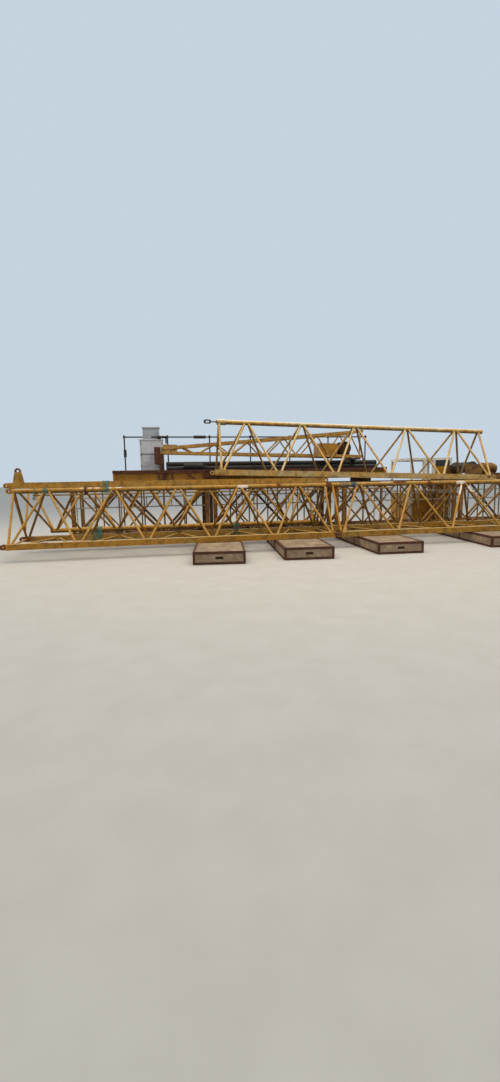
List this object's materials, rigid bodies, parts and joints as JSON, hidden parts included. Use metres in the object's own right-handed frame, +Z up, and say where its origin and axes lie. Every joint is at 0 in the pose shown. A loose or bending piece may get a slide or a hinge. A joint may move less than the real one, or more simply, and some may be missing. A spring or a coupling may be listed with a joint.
{
  "type": "tower crane, taken down and stacked",
  "caption": "Tower crane taken down and stacked in a yard: yellow lattice jib sections on ballast blocks, mast sections, counter jib, cab and tower head behind.",
  "frame": {"origin": "centre of the stack's footprint box, on the ground under the ballast blocks", "axes": "+X along the jib sections towards the joint side on the right of the picture, +Y from the front jib sections to the mast sections behind, +Z up"},
  "size_m": [12.9419, 5.2818, 2.6057],
  "materials": {
    "yellow_enamel": "matte",
    "rusty_steel": "matte",
    "concrete": "matte",
    "timber": "matte",
    "worn_enamel": "matte",
    "deep_yellow_enamel": "satin",
    "rusty_plate": "matte",
    "dark_steel": "satin",
    "grey_enamel": "satin",
    "white_enamel": "satin"
  },
  "bodies": {
    "root": {"front_jib_top_chord": "yellow_enamel", "front_jib_front_chord": "yellow_enamel", "front_jib_rear_chord": "yellow_enamel", "front_jib_front_lacing": "yellow_enamel", "front_jib_rear_lacing": "yellow_enamel", "front_jib_base_lacing": "yellow_enamel", "nested_jib_round_chord": "yellow_enamel", "nested_jib_front_chord": "yellow_enamel", "nested_jib_rear_chord": "yellow_enamel", "nested_jib_front_lacing": "yellow_enamel", "nested_jib_rear_lacing": "yellow_enamel", "nested_jib_base_lacing": "yellow_enamel", "upper_jib_top_chord": "yellow_enamel", "upper_jib_front_chord": "yellow_enamel", "upper_jib_rear_chord": "yellow_enamel", "upper_jib_front_lacing": "yellow_enamel", "upper_jib_rear_lacing": "yellow_enamel", "upper_jib_base_lacing": "yellow_enamel", "joint_pins": "rusty_steel", "tie_bar": "yellow_enamel", "ballast_concrete": "concrete", "ballast_frames": "rusty_steel", "timbers": "timber", "mast_front_side": "worn_enamel", "mast_rear_side": "worn_enamel", "mast_cross_lacing": "worn_enamel", "counter_jib_beams": "deep_yellow_enamel", "counter_jib_deck": "rusty_plate", "beam_brackets": "rusty_steel", "guard_rail": "dark_steel", "control_cabinet": "grey_enamel", "resistor_box": "grey_enamel", "stored_pipes": "dark_steel", "deck_motor": "dark_steel", "tower_head_front_side": "yellow_enamel", "tower_head_rear_side": "yellow_enamel", "tower_head_cross_lacing": "yellow_enamel", "head_stand": "rusty_steel", "head_housing": "deep_yellow_enamel", "pendant_link": "dark_steel", "cab_frame": "white_enamel", "cab_panels": "white_enamel", "winch_frame": "deep_yellow_enamel", "winch_drum": "deep_yellow_enamel", "winch_motor": "deep_yellow_enamel"}
  },
  "joints": []
}
